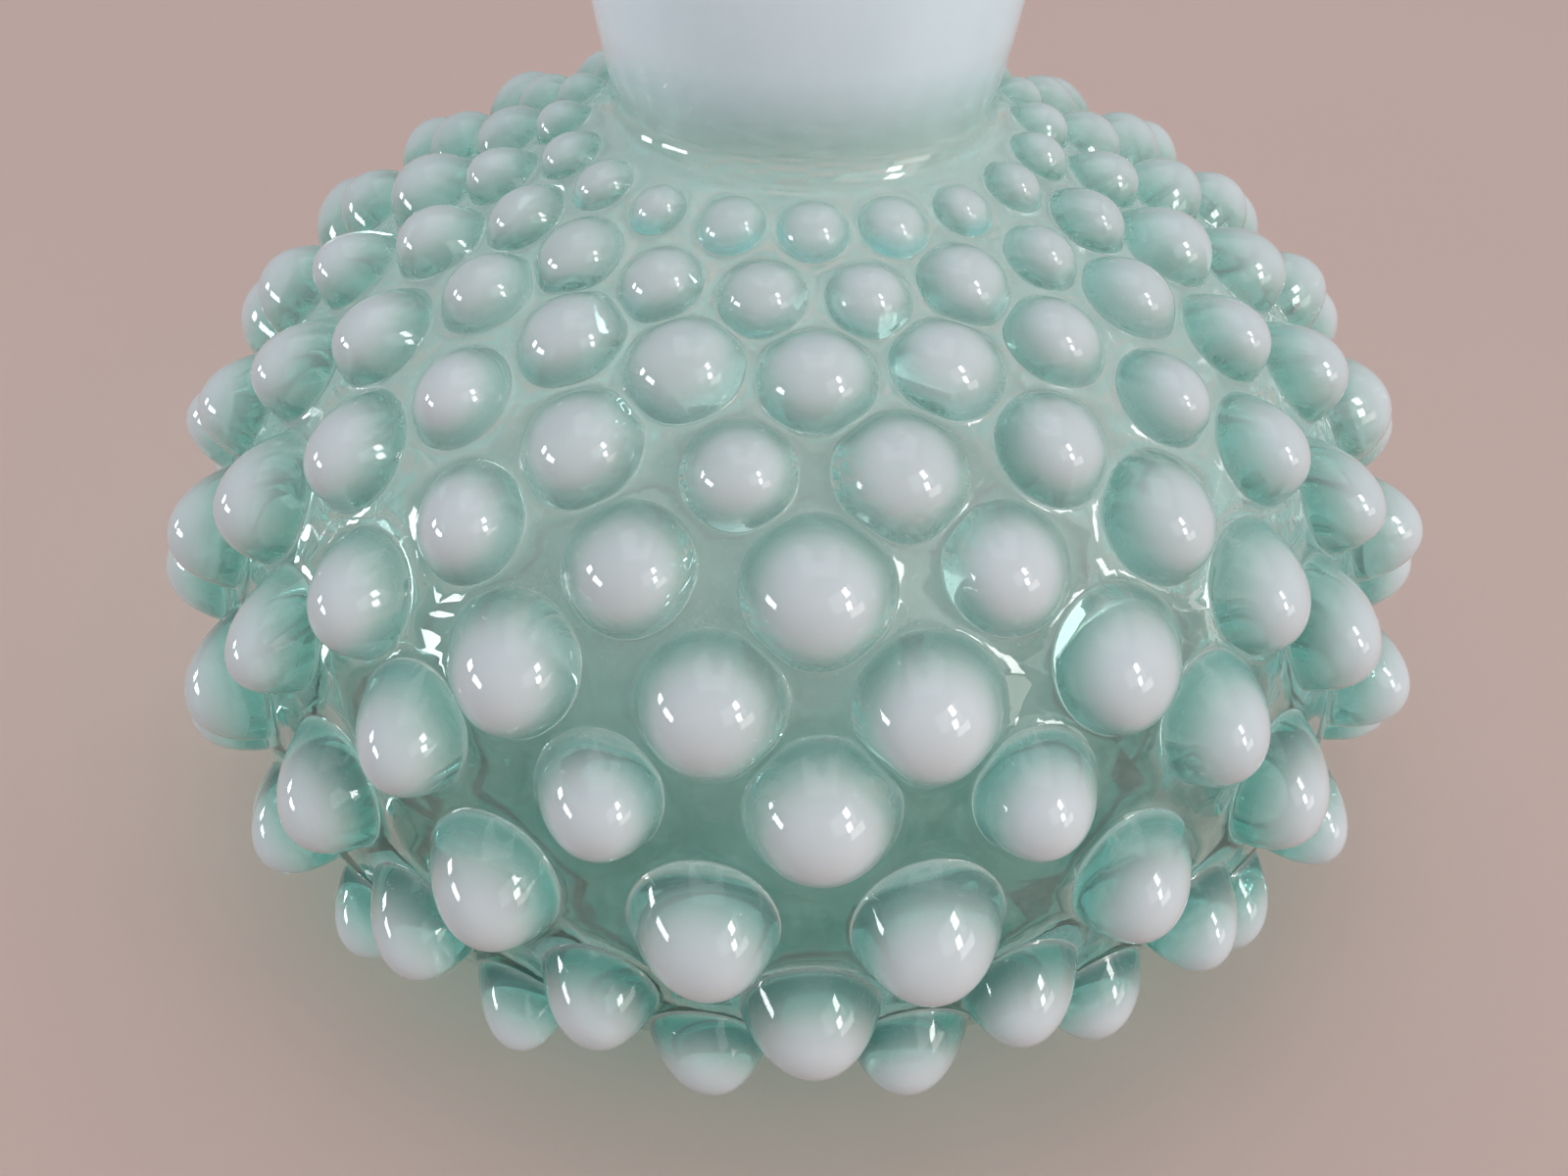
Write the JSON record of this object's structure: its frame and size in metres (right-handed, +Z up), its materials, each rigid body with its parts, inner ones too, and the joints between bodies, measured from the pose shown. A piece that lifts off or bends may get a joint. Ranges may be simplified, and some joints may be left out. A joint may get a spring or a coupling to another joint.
{
  "type": "barber bottle",
  "caption": "Squat round glass bottle covered in opal hobs, with a swelling neck and a rolled lip, closed by a cork pouring stopper with a spout and a push-on cap.",
  "frame": {"origin": "centre of the base, on the plane that the bottle stands on", "axes": "+Z up along the bottle's axis towards the mouth; -Y is the side that faces the viewer in the picture; +X to that viewer's right"},
  "size_m": [0.102, 0.102, 0.2146],
  "materials": {
    "opal_glass": "glossy aqua glass with milky white hobs and neck",
    "cork": "dry natural cork with dark pores",
    "nickel": "polished nickel plate with light handling wear",
    "brass": "dull unlacquered brass"
  },
  "bodies": {
    "bottle": {"glass_bottle": "opal_glass"},
    "stopper": {"cork_sleeve": "cork", "collar": "nickel", "pour_tube": "brass", "vent_tube": "brass", "cork_washer": "brass", "cork_nut": "brass", "spout": "nickel"},
    "cap": {"spout_cap": "nickel", "cap_liner": "cork"}
  },
  "joints": [
    {"name": "stopper_lift", "type": "slide", "parent": "bottle", "child": "stopper", "axis": [0, 0, 1], "range_m": [0, 0.042]},
    {"name": "cap_lift", "type": "slide", "parent": "stopper", "child": "cap", "axis": [0, 0, 1], "range_m": [0, 0.018]}
  ]
}
